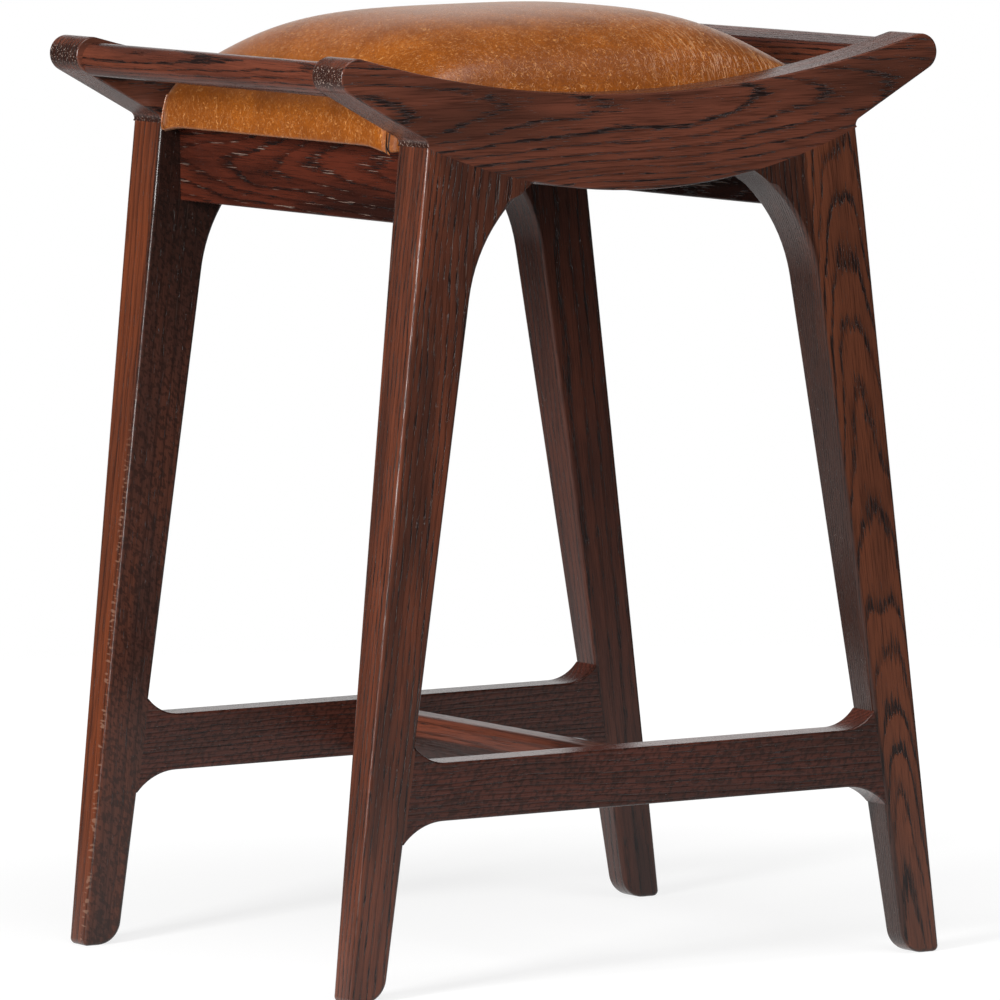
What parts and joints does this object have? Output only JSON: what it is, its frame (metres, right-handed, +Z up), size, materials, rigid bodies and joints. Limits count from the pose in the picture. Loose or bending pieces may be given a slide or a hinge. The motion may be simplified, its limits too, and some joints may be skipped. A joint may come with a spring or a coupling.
{
  "type": "counter stool",
  "caption": "Backless counter stool with two flat oak frames, upswept crescent seat rails, coved stretchers, round end bars and a domed leather seat.",
  "frame": {"origin": "on the floor, under the middle of the seat", "axes": "+Z up; X runs along the crescent rails, from the left end bar to the right; the front frame is towards -Y"},
  "size_m": [0.4826, 0.418, 0.6704],
  "materials": {
    "frame_oak": "dark walnut-brown stained oak, open grain, satin lacquer",
    "block_wood": "planed hardwood, unfinished",
    "plywood": "sanded birch plywood",
    "dowel_wood": "plain beech",
    "foam": "open-cell foam, matt",
    "seat_leather": "pull-up leather, waxed, soft sheen",
    "lining_cloth": "thin woven cloth, matt black",
    "screw_steel": "bright zinc plated"
  },
  "bodies": {
    "root": {"front_saddle_rail": "frame_oak", "back_saddle_rail": "frame_oak", "front_left_leg": "frame_oak", "front_right_leg": "frame_oak", "back_left_leg": "frame_oak", "back_right_leg": "frame_oak", "front_stretcher": "frame_oak", "back_stretcher": "frame_oak", "cross_stretcher": "frame_oak", "left_end_bar": "frame_oak", "right_end_bar": "frame_oak", "left_apron": "frame_oak", "right_apron": "frame_oak", "front_left_corner_block": "block_wood", "front_right_corner_block": "block_wood", "back_left_corner_block": "block_wood", "back_right_corner_block": "block_wood", "seat_board": "plywood", "foam_pad": "foam", "leather_cover": "seat_leather", "dust_cover": "lining_cloth", "leg_dowels": "dowel_wood", "apron_dowels": "dowel_wood", "end_bar_dowels": "dowel_wood", "stretcher_tenons": "dowel_wood", "cross_stretcher_tenons": "dowel_wood", "corner_block_screws": "screw_steel", "seat_screws": "screw_steel", "cover_staples": "screw_steel"}
  },
  "joints": []
}
